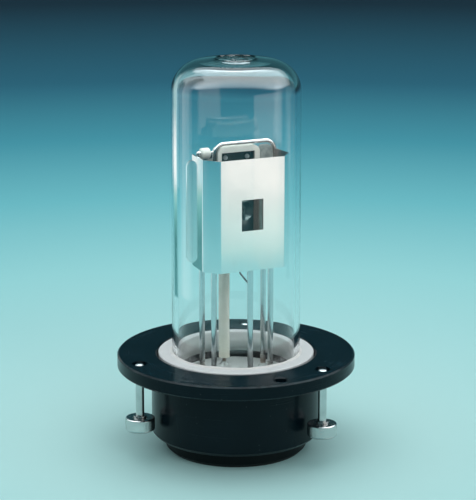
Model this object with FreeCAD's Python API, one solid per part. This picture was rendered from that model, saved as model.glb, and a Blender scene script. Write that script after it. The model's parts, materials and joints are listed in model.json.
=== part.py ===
"""Deuterium lamp for a liquid chromatography detector, with its flanged holder.

The lamp stands on its foot. Z is up, and the origin is the centre of the foot's
underside. The window of the electrode box faces -Y. Lengths are in millimetres.
Heights of the glass and of what is inside it are given above the flange's top face.
"""
import FreeCAD, Part
import math
import os

# Foot, cup and flange of the holder
foot_inset = 3.35
foot_height = 3.9
foot_edge = 0.9
foot_recess_diameter = 16.0
foot_recess_depth = 1.4
cup_wall = 1.35
cup_length = 16.5
cup_edge = 0.8
cup_floor = 3.0
cup_floor_width = 7.2
flange_reach = 8.15
flange_thickness = 3.4
flange_edge = 0.35

# Screws that hold the foot under the cup
foot_screw_inset = 4.0
foot_screw_count = 3
foot_screw_thread = 2.0
foot_screw_head = 3.8
foot_screw_grip = 2.2
foot_screw_slot_width = 0.5
foot_screw_slot_depth = 0.45

# Grommet where the lead leaves the back of the cup
grommet_height = 12.2
grommet_hole = 6.0
grommet_lip = 8.6
grommet_lip_depth = 1.3
grommet_edge = 0.5
grommet_bore = 3.4

# Ceramic collar that carries the bulb, and its cement
collar_wall = 3.15
collar_proud = 0.2
collar_depth = 4.2
collar_gap = 0.35
collar_edge = 0.4
bore_clearance = 0.9
cement_gap = 0.2
cement_fillet = 0.5
cement_hollow = 0.3

# Bulb
bulb_diameter = 30.6
bulb_wall = 1.3
bulb_top = 71.2
bulb_skirt = 0.2
shoulder_radius = 7.2
crown_rise = 0.75
seal_radius = 4.7
seal_bead = 0.45
seal_dip = 0.5

# Pressed glass stem with its leads
stem_top = -5.6
stem_thickness = 2.6
stem_bead_height = 0.8
stem_bead_radius = 1.25
lead_diameter = 1.35
lead_tail = 3.6
rear_left_x = -7.5
rear_right_x = 8.7
rear_lead_drop = 2.8
front_lead_x = 7.3
front_lead_y = -3.8
front_lead_drop = 3.3
cathode_lead_x = 0.0
cathode_lead_gap = 0.225
cathode_lead_reach = 4.2
anode_lead_place = (0.5, 8.2)
anode_lead_diameter = 0.9
insulator_diameter = 2.7
insulator_lift = 1.9
insulator_drop = 3.6

# Folded sheet box round the electrodes
sheet = 0.3
box_bottom = 22.3
box_height = 26.6
front_plane = 9.2
bevel_run = 2.9
bevel_flare = 0.45
bevel_plane = 5.9
side_clearance = 0.2
side_plane = -1.5
bend_radius = 0.45
window_width = 5.4
window_height = 7.4

# Plate behind the box and the cover behind the plate
plate_margin = 1.2
plate_raise = 0.4
plate_drop = 1.5
plate_thickness = 0.8
plate_corner = 1.5
cover_half_width = 6.2
cover_depth = 8.6
cover_bevel = 2.4
cover_raise = 1.5
cover_drop = 1.2

# Plate with the dished opening, in front of the two front leads
aperture_plate_margin = 1.0
aperture_plate_below = 10.6
aperture_plate_above = 8.8
dish_radius = 2.5
dish_lip = 0.3
dish_floor_radius = 1.1
dish_depth = 1.5
aperture_diameter = 1.2

# Ceramic housing round the anode, and what is fixed to its top
housing_half_width = 5.4
housing_front = 1.75
housing_raise = 1.7
housing_rise = 1.55
housing_corner = 1.5
slot_left_wall = 1.0
slot_right_wall = 1.3
slot_height = 3.75
slot_roof = 1.3
slot_depth = 2.2
arc_bore = 5.0
anode_pocket_width = 7.0
anode_pocket_height = 10.0
anode_pocket_depth = 1.4
anode_width = 6.0
anode_height = 8.4
anode_thickness = 0.4
hoop_diameter = 1.0
hoop_radius = 2.4
hoop_rise = 0.3
hoop_side_gap = 0.07
hoop_leg = 13.25
hoop_plane = -1.2
sleeve_diameter = 2.6
sleeve_length = 2.3
sleeve_gap = 0.23
sleeve_drop = 1.35
sleeve_plane = 0.25
sleeve_edge = 0.3
tie_diameter = 0.8
tie_engagement = 0.8
tie_head_diameter = 1.5
tie_head_length = 0.8
tie_head_edge = 0.3
terminal_gap = 0.2
terminal_width = 3.2
terminal_height = 7.3
terminal_drop = 0.15
terminal_thickness = 1.2
terminal_corner = 0.6
terminal_outer_corner = 1.2

# Cathode and the channel that shields it
channel_left = 1.9
channel_right = 7.9
channel_gap = 0.6
channel_raise = 4.7
channel_drop = 2.5
coil_diameter = 2.3
coil_length = 9.1
coil_front_gap = 0.3
coil_wire = 0.45
coil_leg_offset = 0.7
coil_join = 2.6
coil_tail = 1.1
thin_wire = 0.4
thin_wire_bend = 0.4
thin_wire_foot = 8.1
thin_wire_bow = ((0.0, 0.0, 0.8), (-1.95, 0.4, 3.4), (-2.3, 0.6, 5.4))
thin_wire_turn = (-1.7, 0.4, 0.4)
thin_wire_hook = (0.2, 0.7)

# Captive thumbscrews
screw_inset = 3.55
screw_first_angle = 60.0
screw_count = 3
screw_hole = 3.7
screw_hole_depth = 2.4
shank_hole = 2.6
shank_diameter = 2.0
thread_diameter = 3.0
thread_length = 2.3
thread_tip_diameter = 1.9
head_diameter = 7.0
head_height = 3.2
head_drop = 13.2
head_edge = 0.3
washer_diameter = 3.1
washer_thickness = 0.4
turning_gap = 0.05

# Hole that lines the lamp up on the instrument's pin
alignment_hole = 3.4
alignment_angle = 270.0
alignment_edge = 0.25

# Clearances between fitted pieces
seat_gap = 0.05
slide_gap = 0.1

flange_underside = foot_height + cup_length
flange_top = flange_underside + flange_thickness
bulb_radius = bulb_diameter / 2
collar_inner = bulb_radius + cement_gap
collar_outer = collar_inner + collar_wall
pocket_radius = collar_outer + collar_gap
bore_radius = bulb_radius + bore_clearance
cup_radius = pocket_radius + cup_wall
flange_radius = cup_radius + flange_reach
foot_radius = cup_radius - foot_inset
foot_screw_radius = foot_radius - foot_screw_inset
screw_radius = flange_radius - screw_inset

box_top = box_bottom + box_height
window_centre = box_bottom + box_height / 2
plate_bottom = box_bottom + plate_raise
plate_top = box_top - plate_drop
plate_front = -side_plane + seat_gap
plate_back = plate_front + plate_thickness
rear_lead_y = plate_back + seat_gap + lead_diameter / 2
cathode_lead_y = -front_plane + sheet + cathode_lead_gap + lead_diameter / 2
aperture_plate_back = front_lead_y - lead_diameter / 2 - seat_gap
aperture_plate_front = aperture_plate_back - sheet
housing_top = box_top + housing_rise
housing_back = plate_front - seat_gap
anode_front = housing_back - anode_pocket_depth + seat_gap
slot_top = housing_top - slot_roof
sleeve_height = housing_top - sleeve_drop
hoop_top = housing_top + hoop_rise + hoop_diameter / 2
hoop_left = housing_half_width + hoop_side_gap + hoop_diameter / 2
sleeve_right = hoop_left + hoop_diameter / 2 + sleeve_gap
sleeve_left = sleeve_right + sleeve_length
terminal_left = housing_half_width + terminal_gap
terminal_right = terminal_left + terminal_width
terminal_top = housing_top - terminal_drop
terminal_bottom = terminal_top - terminal_height
hoop_right = terminal_right + terminal_gap + hoop_diameter / 2
side_half_width = hoop_right + hoop_diameter / 2 + side_clearance + sheet
bevel_half_width = side_half_width + bevel_flare
front_half_width = bevel_half_width - bevel_run
plate_half_width = side_half_width + plate_margin
channel_bottom = box_bottom + channel_raise
channel_top = box_top - channel_drop
channel_front = -front_plane + sheet + seat_gap
coil_x = (channel_left + channel_right) / 2
coil_y = channel_front + sheet + coil_front_gap + coil_diameter / 2
Z_AXIS = FreeCAD.Vector(0, 0, 1)


def point(x, y, z):
    """A vector, with its height measured from the foot."""
    return FreeCAD.Vector(x, y, z)


def above(height):
    """Turn a height above the flange's top face into a height above the foot."""
    return flange_top + height


def cylinder(radius, bottom, top, x=0.0, y=0.0):
    """A round bar standing on Z."""
    return Part.makeCylinder(radius, top - bottom, point(x, y, bottom), Z_AXIS)


def block(x0, x1, y0, y1, z0, z1):
    """A box between two corners."""
    return Part.makeBox(x1 - x0, y1 - y0, z1 - z0, point(x0, y0, z0))


def polyline(points):
    """A closed wire of straight edges through the points."""
    return Part.makePolygon(list(points) + [points[0]])


def turned(profile):
    """A solid turned about Z from a closed outline of (radius, height) corners."""
    wire = polyline([point(r, 0, z) for r, z in profile])
    return Part.Face(wire).revolve(point(0, 0, 0), Z_AXIS, 360)


def on_circle(radius, angle):
    """The plan position at an angle on a circle about the axis."""
    turn = math.radians(angle)
    return radius * math.cos(turn), radius * math.sin(turn)


def rod(path, diameter):
    """A round wire swept along a path, square to its first edge."""
    start = path.Edges[0]
    first = start.FirstParameter
    ring = Part.makeCircle(diameter / 2, start.valueAt(first), start.tangentAt(first))
    return path.makePipeShell([Part.Wire(ring)], True, False)


def bent_path(corners, radius):
    """Straight runs through the corners, joined by tangent arcs of one radius."""
    edges = []
    last = corners[0]
    for before, corner, after in zip(corners, corners[1:], corners[2:]):
        into = (corner - before).normalize()
        out = (after - corner).normalize()
        half_turn = into.getAngle(out) / 2
        reach = radius * math.tan(half_turn)
        start = corner - into * reach
        end = corner + out * reach
        inward = (out - into).normalize()
        centre = corner + inward * (radius / math.cos(half_turn))
        middle = centre - inward * radius
        edges.append(Part.LineSegment(last, start).toShape())
        edges.append(Part.Arc(start, middle, end).toShape())
        last = end
    edges.append(Part.LineSegment(last, corners[-1]).toShape())
    return Part.Wire(edges)


def screw_angles():
    """The directions of the captive screws, evenly spaced."""
    return [screw_first_angle + 360.0 / screw_count * i for i in range(screw_count)]


def foot_screw_angles():
    """The directions of the foot's screws, evenly spaced."""
    return [90.0 + 360.0 / foot_screw_count * i for i in range(foot_screw_count)]


def make_holder():
    """Flange and cup turned from one bar, bored for the collar and the leads."""
    cup = cup_radius
    rim = flange_radius
    pocket = pocket_radius
    bore = bore_radius
    floor_bore = bore_radius - cup_floor_width
    pocket_floor = flange_top - collar_depth
    floor_top = foot_height + cup_floor
    body = turned([
        (floor_bore, foot_height),
        (cup - cup_edge, foot_height),
        (cup, foot_height + cup_edge),
        (cup, flange_underside),
        (rim - flange_edge, flange_underside),
        (rim, flange_underside + flange_edge),
        (rim, flange_top - flange_edge),
        (rim - flange_edge, flange_top),
        (pocket + collar_edge, flange_top),
        (pocket, flange_top - collar_edge),
        (pocket, pocket_floor),
        (bore, pocket_floor),
        (bore, floor_top),
        (floor_bore, floor_top),
    ])
    cuts = []
    for angle in screw_angles():
        x, y = on_circle(screw_radius, angle)
        cuts.append(cylinder(shank_hole / 2, flange_underside - 1, flange_top + 1, x, y))
        cuts.append(cylinder(screw_hole / 2, flange_top - screw_hole_depth, flange_top + 1, x, y))
    x, y = on_circle(screw_radius, alignment_angle)
    cuts.append(cylinder(alignment_hole / 2, flange_underside - 1, flange_top + 1, x, y))
    lead_in = alignment_hole / 2 + alignment_edge
    cuts.append(Part.makeCone(alignment_hole / 2, lead_in, alignment_edge,
                              point(x, y, flange_top - alignment_edge), Z_AXIS))
    for angle in foot_screw_angles():
        x, y = on_circle(foot_screw_radius, angle)
        cuts.append(cylinder(foot_screw_thread / 2 + seat_gap, foot_height - 1,
                             foot_height + foot_screw_grip + slide_gap, x, y))
    cuts.append(Part.makeCylinder(grommet_hole / 2, cup, point(0, 0, grommet_height),
                                  point(0, 1, 0)))
    return body.cut(cuts)


def make_foot():
    """Round foot under the cup, with a hollow and countersinks below."""
    radius = foot_radius
    recess = foot_recess_diameter / 2
    body = turned([
        (0, foot_recess_depth),
        (recess, foot_recess_depth),
        (recess, 0),
        (radius - foot_edge, 0),
        (radius, foot_edge),
        (radius, foot_height),
        (0, foot_height),
    ])
    sunk = foot_screw_head / 2 - foot_screw_thread / 2
    cuts = []
    for angle in foot_screw_angles():
        x, y = on_circle(foot_screw_radius, angle)
        cuts.append(cylinder(foot_screw_thread / 2 + slide_gap, -1, foot_height + 1, x, y))
        cuts.append(Part.makeCone(foot_screw_head / 2 + slide_gap, foot_screw_thread / 2 + slide_gap,
                                  sunk, point(x, y, foot_recess_depth / 2), Z_AXIS))
        cuts.append(cylinder(foot_screw_head / 2 + slide_gap, -1, foot_recess_depth / 2, x, y))
    return body.cut(cuts)


def make_foot_screws():
    """Slotted countersunk screws, driven up into the floor of the cup."""
    sunk = foot_screw_head / 2 - foot_screw_thread / 2
    seat = foot_recess_depth / 2
    screws = []
    for angle in foot_screw_angles():
        x, y = on_circle(foot_screw_radius, angle)
        head = Part.makeCone(foot_screw_head / 2, foot_screw_thread / 2, sunk, point(x, y, seat), Z_AXIS)
        shank = cylinder(foot_screw_thread / 2, seat + sunk, foot_height + foot_screw_grip, x, y)
        slot = block(x - foot_screw_head, x + foot_screw_head,
                     y - foot_screw_slot_width / 2, y + foot_screw_slot_width / 2,
                     seat - 1, seat + foot_screw_slot_depth)
        screws.append(head.fuse(shank).cut(slot).removeSplitter())
    return Part.makeCompound(screws)


def make_grommet():
    """Rubber ring that lines the hole at the back of the cup."""
    wall = cup_radius
    front = wall + grommet_lip_depth
    axis = point(0, 1, 0)
    centre = point(0, 0, grommet_height)
    neck = Part.makeCylinder(grommet_hole / 2 - seat_gap, front, centre, axis)
    lip = Part.makeCylinder(grommet_lip / 2, front, centre, axis)
    rim = [e for e in lip.Edges if e.CenterOfMass.y > wall and e.Curve.TypeId == "Part::GeomCircle"]
    lip = lip.makeChamfer(grommet_edge, rim)
    hole = Part.makeCylinder(grommet_bore / 2, front + 1, centre, axis)
    cup = cylinder(wall + seat_gap, foot_height, flange_underside)
    inside = cylinder(bore_radius, foot_height, flange_underside)
    return lip.cut(cup).fuse(neck.cut(inside)).cut(hole).removeSplitter()


def make_collar():
    """White ceramic ring that stands a little proud of the flange."""
    outer = collar_outer
    inner = collar_inner
    bottom = flange_top - collar_depth
    top = flange_top + collar_proud
    return turned([
        (inner, bottom),
        (outer - collar_edge, bottom),
        (outer, bottom + collar_edge),
        (outer, top - 0.5 * collar_edge),
        (outer - 0.5 * collar_edge, top),
        (inner, top),
    ])


def make_cement():
    """Cement between the bulb and the collar, with a fillet on the collar's top."""
    inner = bulb_radius + seat_gap / 2
    outer = collar_inner - seat_gap / 2
    bottom = flange_top - collar_depth
    top = flange_top + collar_proud
    return turned([
        (inner, bottom),
        (outer, bottom),
        (outer, top),
        (outer + cement_fillet, top),
        (outer + cement_hollow * cement_fillet, top + cement_hollow * cement_fillet),
        (inner, top + cement_fillet),
    ])


def cap_drop(radius, edge_radius, rise):
    """How far a shallow round cap, of a given rise at its edge, falls at a radius."""
    sphere = (edge_radius ** 2 + rise ** 2) / (2 * rise)
    return sphere - math.sqrt(sphere ** 2 - radius ** 2)


def make_bulb():
    """Blown tube with a domed end, and the mark where the pump tube was sealed off."""
    outer = bulb_radius
    inner = outer - bulb_wall
    top = above(bulb_top)
    bottom = above(stem_top) - stem_thickness - bulb_skirt
    shoulder = top - crown_rise
    flat = outer - shoulder_radius
    bend_height = shoulder - shoulder_radius

    def at(radius, height):
        return point(radius, 0, height)

    def bend(radius):
        turn = math.radians(45)
        middle = at(flat + radius * math.cos(turn), bend_height + radius * math.sin(turn))
        return at(flat + radius, bend_height), middle, at(flat, bend_height + radius)

    def on_crown(radius):
        return at(radius, top - cap_drop(radius, flat, crown_rise))

    def on_dip(radius):
        edge = seal_radius - seal_bead
        return at(radius, on_crown(edge).z - seal_dip + cap_drop(radius, edge, seal_dip))

    def under_crown(radius):
        return at(radius, shoulder - bulb_wall + under_rise - cap_drop(radius, flat, under_rise))

    under_rise = 0.5 * crown_rise
    out_start, out_middle, out_end = bend(shoulder_radius)
    in_start, in_middle, in_end = bend(shoulder_radius - bulb_wall)
    bead_foot = on_crown(seal_radius + seal_bead)
    bead_inside = on_crown(seal_radius - seal_bead)
    bead_peak = at(seal_radius, on_crown(seal_radius).z + seal_bead)
    edges = [
        Part.LineSegment(at(inner, bottom), at(outer, bottom)),
        Part.LineSegment(at(outer, bottom), out_start),
        Part.Arc(out_start, out_middle, out_end),
        Part.Arc(out_end, on_crown((flat + bead_foot.x) / 2), bead_foot),
        Part.Arc(bead_foot, bead_peak, bead_inside),
        Part.Arc(bead_inside, on_dip(bead_inside.x / 2), on_dip(0)),
        Part.LineSegment(on_dip(0), under_crown(0)),
        Part.Arc(under_crown(0), under_crown(flat / 2), in_end),
        Part.Arc(in_end, in_middle, in_start),
        Part.LineSegment(in_start, at(inner, bottom)),
    ]
    wire = Part.Wire([edge.toShape() for edge in edges])
    return Part.Face(wire).revolve(point(0, 0, 0), Z_AXIS, 360)


def lead_places():
    """Plan positions of the leads that pass through the stem, with their diameters."""
    return [
        ((rear_left_x, rear_lead_y), lead_diameter),
        ((rear_right_x, rear_lead_y), lead_diameter),
        ((-front_lead_x, front_lead_y), lead_diameter),
        ((front_lead_x, front_lead_y), lead_diameter),
        ((cathode_lead_x, cathode_lead_y), lead_diameter),
        (anode_lead_place, anode_lead_diameter),
    ]


def make_stem():
    """Pressed disc sealed into the bulb, with a bead of glass round each lead."""
    top = above(stem_top)
    radius = bulb_radius - bulb_wall - seat_gap
    body = cylinder(radius, top - stem_thickness, top)
    beads = []
    holes = []
    for (x, y), diameter in lead_places():
        beads.append(Part.makeCone(stem_bead_radius, diameter / 2 + 2 * seat_gap, stem_bead_height,
                                   point(x, y, top), Z_AXIS))
        holes.append(cylinder(diameter / 2 + seat_gap / 2, top - stem_thickness - 1,
                              top + stem_bead_height + 1, x, y))
    return body.fuse(beads).cut(holes).removeSplitter()


def make_lead(x, y, top):
    """Straight lead from below the stem up to what it carries."""
    bottom = above(stem_top) - stem_thickness - lead_tail
    return cylinder(lead_diameter / 2, bottom, above(top), x, y)


def make_anode_lead():
    """Lead through the insulator, bent forward through the plate to the anode."""
    x, y = anode_lead_place
    bottom = above(stem_top) - stem_thickness - lead_tail
    height = above(window_centre)
    anode_back = anode_front + anode_thickness
    corners = [point(x, y, bottom), point(x, y, height), point(x, anode_back + seat_gap, height)]
    return rod(bent_path(corners, 2 * anode_lead_diameter), anode_lead_diameter)


def make_insulator():
    """Cream ceramic tube over the anode lead."""
    x, y = anode_lead_place
    bottom = above(stem_top + insulator_lift)
    top = above(window_centre - insulator_drop)
    outside = cylinder(insulator_diameter / 2, bottom, top, x, y)
    bore = cylinder(anode_lead_diameter / 2 + slide_gap, bottom - 1, top + 1, x, y)
    return outside.cut(bore)


def folded_sheet(corners, bottom, top, thickness, radius):
    """Upright sheet folded along plan corners, rounded at each fold."""
    centre = [point(x, y, bottom) for x, y in corners]
    path = bent_path(centre, radius + thickness / 2)
    face_start = path.Edges[0]
    along = face_start.tangentAt(face_start.FirstParameter)
    across = point(-along.y, along.x, 0)
    a = centre[0] + across * (thickness / 2)
    b = centre[0] - across * (thickness / 2)
    lift = point(0, 0, top - bottom)
    profile = Part.makePolygon([a, b, b + lift, a + lift, a])
    return path.makePipeShell([profile], True, False)


def make_front_shield():
    """Nickel sheet folded into a box front, with the window cut in its face."""
    half = sheet / 2
    bottom = above(box_bottom)
    top = bottom + box_height
    corners = [
        (-side_half_width + half, -side_plane),
        (-bevel_half_width + half, -bevel_plane),
        (-front_half_width, -front_plane + half),
        (front_half_width, -front_plane + half),
        (bevel_half_width - half, -bevel_plane),
        (side_half_width - half, -side_plane),
    ]
    body = folded_sheet(corners, bottom, top, sheet, bend_radius)
    window = block(-window_width / 2, window_width / 2, -front_plane - 1, -front_plane + 1,
                   above(window_centre) - window_height / 2, above(window_centre) + window_height / 2)
    return body.cut(window)


def make_back_plate():
    """Flat plate across the back of the box, with rounded corners."""
    body = block(-plate_half_width, plate_half_width, plate_front, plate_back,
                 above(plate_bottom), above(plate_top))
    upright = [e for e in body.Edges if abs(e.tangentAt(e.FirstParameter).y) > 0.9]
    body = body.makeFillet(plate_corner, upright)
    hole = Part.makeCylinder(anode_lead_diameter / 2 + 4 * slide_gap, plate_thickness + 2,
                             point(anode_lead_place[0], plate_front - 1, above(window_centre)),
                             point(0, 1, 0))
    return body.cut(hole)


def make_rear_cover():
    """Folded cover over the back of the plate and the anode lead."""
    half = sheet / 2
    start = plate_back + seat_gap
    back = start + cover_depth
    side = cover_half_width - half
    corners = [
        (-side, start),
        (-side, back - cover_bevel),
        (-side + cover_bevel, back - half),
        (side - cover_bevel, back - half),
        (side, back - cover_bevel),
        (side, start),
    ]
    return folded_sheet(corners, above(plate_bottom + cover_raise), above(plate_top - cover_drop),
                        sheet, bend_radius)


def make_aperture_plate():
    """Flat plate with a round dish pressed back from its face and a small hole."""
    front = aperture_plate_front
    half_width = front_lead_x + aperture_plate_margin
    plate = block(-half_width, half_width, front, aperture_plate_back,
                  above(window_centre - aperture_plate_below), above(window_centre + aperture_plate_above))
    centre = point(0, front, above(window_centre))
    back_axis = point(0, 1, 0)
    opening = Part.makeCylinder(dish_radius, 3 * sheet, centre - back_axis * sheet, back_axis)
    hole = aperture_diameter / 2
    mouth = dish_radius - dish_lip
    outline = [
        (hole, dish_depth),
        (dish_floor_radius, dish_depth),
        (mouth, 0),
        (dish_radius, 0),
        (dish_radius, sheet),
        (mouth, sheet),
        (dish_floor_radius + sheet, dish_depth + sheet),
        (hole, dish_depth + sheet),
    ]
    wire = polyline([point(r, front + y, centre.z) for r, y in outline])
    dish = Part.Face(wire).revolve(centre, back_axis, 360)
    return plate.cut(opening).fuse(dish).removeSplitter()


def make_housing():
    """Ceramic block with a slot at its top, a bore for the arc and a pocket behind."""
    back = housing_back
    body = block(-housing_half_width, housing_half_width, -housing_front, back,
                 above(box_bottom + housing_raise), above(housing_top))
    upright = [e for e in body.Edges
               if abs(e.tangentAt(e.FirstParameter).y) > 0.9 and e.CenterOfMass.z > above(slot_top)]
    body = body.makeFillet(housing_corner, upright)
    slot = block(-housing_half_width + slot_left_wall, housing_half_width - slot_right_wall,
                 -housing_front - 1, -housing_front + slot_depth,
                 above(slot_top - slot_height), above(slot_top))
    bore = Part.makeCylinder(arc_bore / 2, housing_front + back + 2,
                             point(0, -housing_front - 1, above(window_centre)), point(0, 1, 0))
    pocket = block(-anode_pocket_width / 2, anode_pocket_width / 2, back - anode_pocket_depth, back + 1,
                   above(window_centre) - anode_pocket_height / 2,
                   above(window_centre) + anode_pocket_height / 2)
    tie_hole = Part.makeCylinder(tie_diameter / 2 + seat_gap, slot_left_wall + 2,
                                 point(-housing_half_width - 1, sleeve_plane, above(sleeve_height)),
                                 point(1, 0, 0))
    return body.cut([slot, bore, pocket, tie_hole])


def make_anode():
    """Small plate in the pocket behind the bore."""
    return block(-anode_width / 2, anode_width / 2, anode_front, anode_front + anode_thickness,
                 above(window_centre) - anode_height / 2, above(window_centre) + anode_height / 2)


def make_hoop():
    """Round rod bent over the top of the housing."""
    corners = [
        point(-hoop_left, hoop_plane, above(hoop_top - hoop_leg)),
        point(-hoop_left, hoop_plane, above(hoop_top)),
        point(hoop_right, hoop_plane, above(hoop_top)),
        point(hoop_right, hoop_plane, above(hoop_top - hoop_leg)),
    ]
    return rod(bent_path(corners, hoop_radius), hoop_diameter)


def make_sleeve():
    """Short ceramic sleeve on the tie rod, beside the housing."""
    centre = point(-sleeve_left, sleeve_plane, above(sleeve_height))
    outside = Part.makeCylinder(sleeve_diameter / 2, sleeve_length, centre, point(1, 0, 0))
    rims = [e for e in outside.Edges if e.Curve.TypeId == "Part::GeomCircle"]
    outside = outside.makeChamfer(sleeve_edge, rims)
    bore = Part.makeCylinder(tie_diameter / 2 + seat_gap, sleeve_length + 2,
                             centre - point(1, 0, 0), point(1, 0, 0))
    return outside.cut(bore)


def make_tie_rod():
    """Wire with an upset head that holds the sleeve against the housing."""
    start = point(-sleeve_left - seat_gap, sleeve_plane, above(sleeve_height))
    axis = point(1, 0, 0)
    length = sleeve_left - housing_half_width + tie_engagement
    wire = Part.makeCylinder(tie_diameter / 2, length, start, axis)
    head = Part.makeCylinder(tie_head_diameter / 2, tie_head_length, start, axis * -1)
    rims = [e for e in head.Edges if e.Curve.TypeId == "Part::GeomCircle"
            and e.CenterOfMass.x < start.x - tie_head_length / 2]
    head = head.makeChamfer(tie_head_edge, rims)
    return wire.fuse(head).removeSplitter()


def make_terminal():
    """Strip beside the housing that joins the cathode's upper leg to the hoop."""
    front = -housing_front
    body = block(terminal_left, terminal_right, front, front + terminal_thickness,
                 above(terminal_bottom), above(terminal_top))
    for side, corner in ((terminal_left, terminal_corner), (terminal_right, terminal_outer_corner)):
        edge = [e for e in body.Edges
                if abs(e.tangentAt(e.FirstParameter).y) > 0.9
                and abs(e.CenterOfMass.x - side) < corner / 4
                and abs(e.CenterOfMass.z - above(terminal_top)) < corner / 4]
        body = body.makeFillet(corner, edge)
    return body


def make_channel():
    """Folded channel in front of the aperture plate, open towards the plate."""
    half = sheet / 2
    front = channel_front + half
    back = aperture_plate_front - channel_gap
    corners = [
        (channel_left + half, back),
        (channel_left + half, front),
        (channel_right - half, front),
        (channel_right - half, back),
    ]
    return folded_sheet(corners, above(channel_bottom), above(channel_top), sheet, bend_radius)


def make_coil():
    """Closely wound, coated cathode, with its upper leg bent back to the terminal."""
    middle = above(window_centre)
    leg_x = coil_x + coil_leg_offset
    reach = above(terminal_bottom + coil_join)
    coil = cylinder(coil_diameter / 2, middle - coil_length / 2, middle + coil_length / 2, coil_x, coil_y)
    upper = rod(bent_path([
        point(leg_x, coil_y, middle),
        point(leg_x, coil_y, reach),
        point(leg_x, -housing_front - seat_gap, reach),
    ], 2 * coil_wire), coil_wire)
    lower = cylinder(coil_wire / 2, above(channel_bottom) - coil_tail, middle, leg_x, coil_y)
    return coil.fuse([upper, lower]).removeSplitter()


def make_cathode_wire():
    """Thin wire from the front lead, bowed to the left and then back under the coil."""
    side = cathode_lead_y + (lead_diameter + thin_wire) / 2 + seat_gap
    leg_side = coil_x + coil_leg_offset - (coil_wire + thin_wire) / 2 - seat_gap
    foot = point(cathode_lead_x, side, above(channel_bottom - coil_tail - thin_wire_foot))
    joint = above(channel_bottom) - coil_tail
    turn_x, turn_y, turn_drop = thin_wire_turn
    hook_drop, hook_rise = thin_wire_hook
    corners = [foot]
    corners += [foot + point(*step) for step in thin_wire_bow]
    corners += [
        point(cathode_lead_x + turn_x, side + turn_y, joint - turn_drop),
        point(leg_side, coil_y, joint - hook_drop),
        point(leg_side, coil_y, joint + hook_rise),
    ]
    return rod(bent_path(corners, thin_wire_bend), thin_wire)


def head_top():
    """Height of the top of a hanging thumbscrew's head."""
    return flange_top - head_drop


def make_thumbscrew(angle):
    """Captive screw with a round head, a thin shank and a short threaded end."""
    x, y = on_circle(screw_radius, angle)
    top = head_top()
    bottom = top - head_height
    head = head_diameter / 2
    shank = shank_diameter / 2
    thread = thread_diameter / 2
    tip = thread_tip_diameter / 2
    thread_bottom = flange_top - thread_length
    body = turned([
        (0, bottom),
        (head - head_edge, bottom),
        (head, bottom + head_edge),
        (head, top - head_edge),
        (head - head_edge, top),
        (shank, top),
        (shank, thread_bottom),
        (thread, thread_bottom + thread - shank),
        (thread, flange_top - (thread - tip)),
        (tip, flange_top),
        (0, flange_top),
    ])
    body.translate(point(x, y, 0))
    return body


def make_washer(angle):
    """Thin washer on the head, round the foot of the shank."""
    x, y = on_circle(screw_radius, angle)
    bottom = head_top() + turning_gap
    ring = cylinder(washer_diameter / 2, bottom, bottom + washer_thickness, x, y)
    hole = cylinder(shank_diameter / 2 + turning_gap, bottom - 1, bottom + washer_thickness + 1, x, y)
    return ring.cut(hole)


def parts():
    """Every piece of the lamp by name."""
    rear_lead_top = plate_top - rear_lead_drop
    front_lead_top = box_top - front_lead_drop
    pieces = {
        "lamp_holder": make_holder(),
        "base_foot": make_foot(),
        "foot_screws": make_foot_screws(),
        "cable_grommet": make_grommet(),
        "ceramic_collar": make_collar(),
        "bulb_cement": make_cement(),
        "bulb_envelope": make_bulb(),
        "glass_stem": make_stem(),
        "rear_left_lead": make_lead(rear_left_x, rear_lead_y, rear_lead_top),
        "rear_right_lead": make_lead(rear_right_x, rear_lead_y, rear_lead_top),
        "front_left_lead": make_lead(-front_lead_x, front_lead_y, front_lead_top),
        "front_right_lead": make_lead(front_lead_x, front_lead_y, front_lead_top),
        "cathode_lead": make_lead(cathode_lead_x, cathode_lead_y, box_bottom + cathode_lead_reach),
        "anode_lead": make_anode_lead(),
        "lead_insulator": make_insulator(),
        "front_shield": make_front_shield(),
        "back_plate": make_back_plate(),
        "rear_cover": make_rear_cover(),
        "aperture_plate": make_aperture_plate(),
        "anode_housing": make_housing(),
        "anode_plate": make_anode(),
        "retaining_hoop": make_hoop(),
        "ceramic_sleeve": make_sleeve(),
        "tie_rod": make_tie_rod(),
        "cathode_terminal": make_terminal(),
        "cathode_channel": make_channel(),
        "cathode_coil": make_coil(),
        "cathode_wire": make_cathode_wire(),
    }
    for number, angle in enumerate(screw_angles(), start=1):
        pieces["thumbscrew_%d" % number] = make_thumbscrew(angle)
        pieces["screw_washer_%d" % number] = make_washer(angle)
    return pieces


def main():
    os.makedirs("parts", exist_ok=True)
    for name, shape in parts().items():
        if not shape.isValid():
            print("not valid:", name)
        shape.exportStep("parts/%s.step" % name)
        print(name, len(shape.Solids), "solid,", round(shape.Volume, 2), "mm3")


main()
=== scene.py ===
# %% [markdown]
# # A deuterium lamp on its flanged holder
# This lesson dresses a finished CAD model. The CAD gives every solid its size and place,
# and Blender gives each one its finish: black anodised metal, steel, nickel sheet,
# ceramic and clear glass. A few pieces are made again here, because a bulb blown by a
# flame, a knurl, a thread and a wound wire are finer than the CAD solids.

import json
import math

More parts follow.
